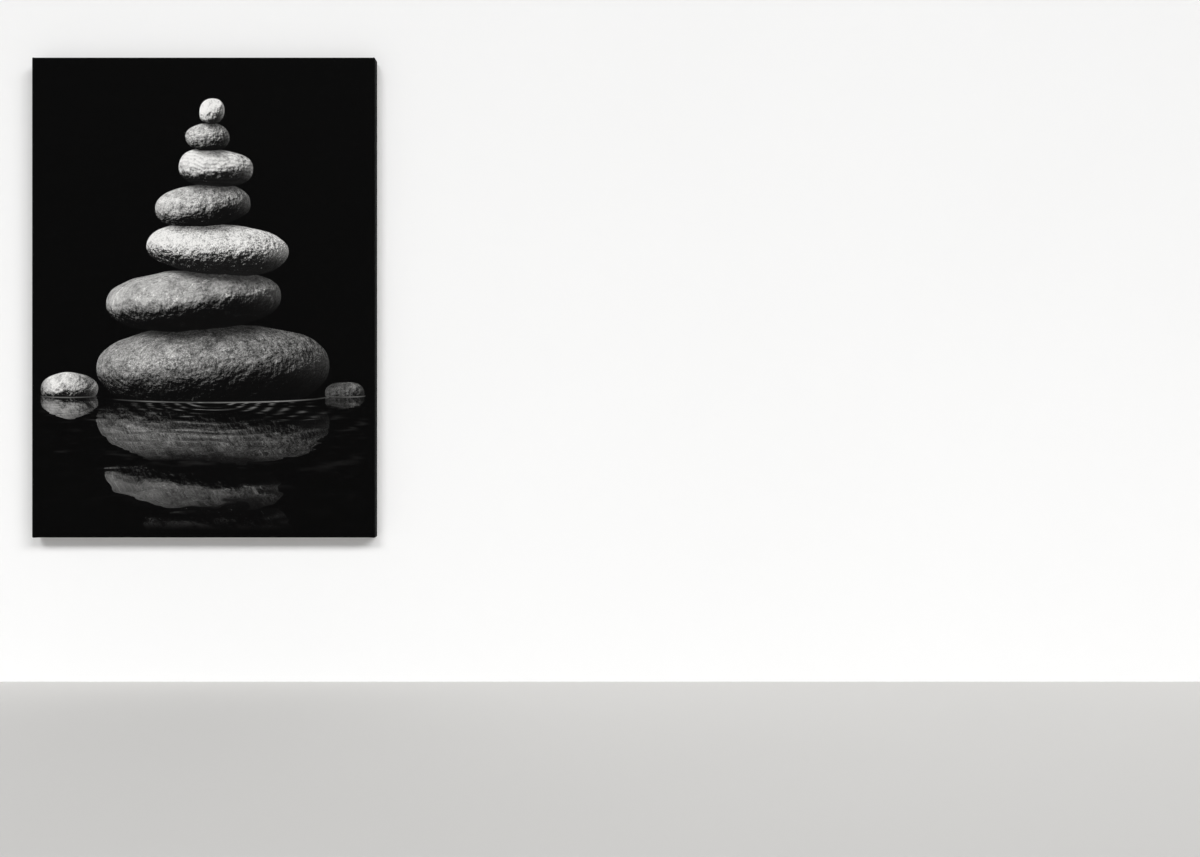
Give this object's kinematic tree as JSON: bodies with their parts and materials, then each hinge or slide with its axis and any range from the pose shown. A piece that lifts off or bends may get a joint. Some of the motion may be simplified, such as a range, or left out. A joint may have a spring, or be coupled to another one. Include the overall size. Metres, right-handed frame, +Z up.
{
  "type": "canvas wall print",
  "caption": "Large upright canvas print with black wrapped edges, stretched over a keyed pine frame with crossed braces and hung flat on a wall by an aluminium cleat.",
  "frame": {"origin": "middle of the aluminium cleat's flat wall face, which lies in the plane of the wall", "axes": "+Z up along the print's height; +Y into the wall; +X to the right for someone who looks at the print, whose face points along -Y"},
  "size_m": [1.016, 0.046, 1.4224],
  "materials": {
    "printed_canvas": "woven cotton and polyester canvas with a matt black-and-white print, black on the wrapped sides and off-white where it isn't printed",
    "pine": "planed, unvarnished pine",
    "birch": "sawn, unvarnished birch",
    "aluminium": "extruded, mill finish",
    "zinc": "zinc-plated steel",
    "rubber": "moulded, matt black"
  },
  "bodies": {
    "root": {"canvas": "printed_canvas", "bar_top": "pine", "bar_bottom": "pine", "bar_left": "pine", "bar_right": "pine", "brace_upright": "pine", "brace_level": "pine", "key_top_left_level": "birch", "key_top_left_upright": "birch", "key_top_right_level": "birch", "key_top_right_upright": "birch", "key_bottom_left_level": "birch", "key_bottom_left_upright": "birch", "key_bottom_right_level": "birch", "key_bottom_right_upright": "birch", "key_brace_top_1": "birch", "key_brace_top_2": "birch", "key_brace_bottom_1": "birch", "key_brace_bottom_2": "birch", "key_brace_left_1": "birch", "key_brace_left_2": "birch", "key_brace_right_1": "birch", "key_brace_right_2": "birch", "cleat": "aluminium", "cleat_screw_1": "zinc", "cleat_screw_2": "zinc", "cleat_screw_3": "zinc", "cleat_screw_4": "zinc", "cleat_screw_5": "zinc", "cleat_screw_6": "zinc", "bumper_screw_left": "zinc", "bumper_screw_right": "zinc", "bumper_left": "rubber", "bumper_right": "rubber"}
  },
  "joints": []
}
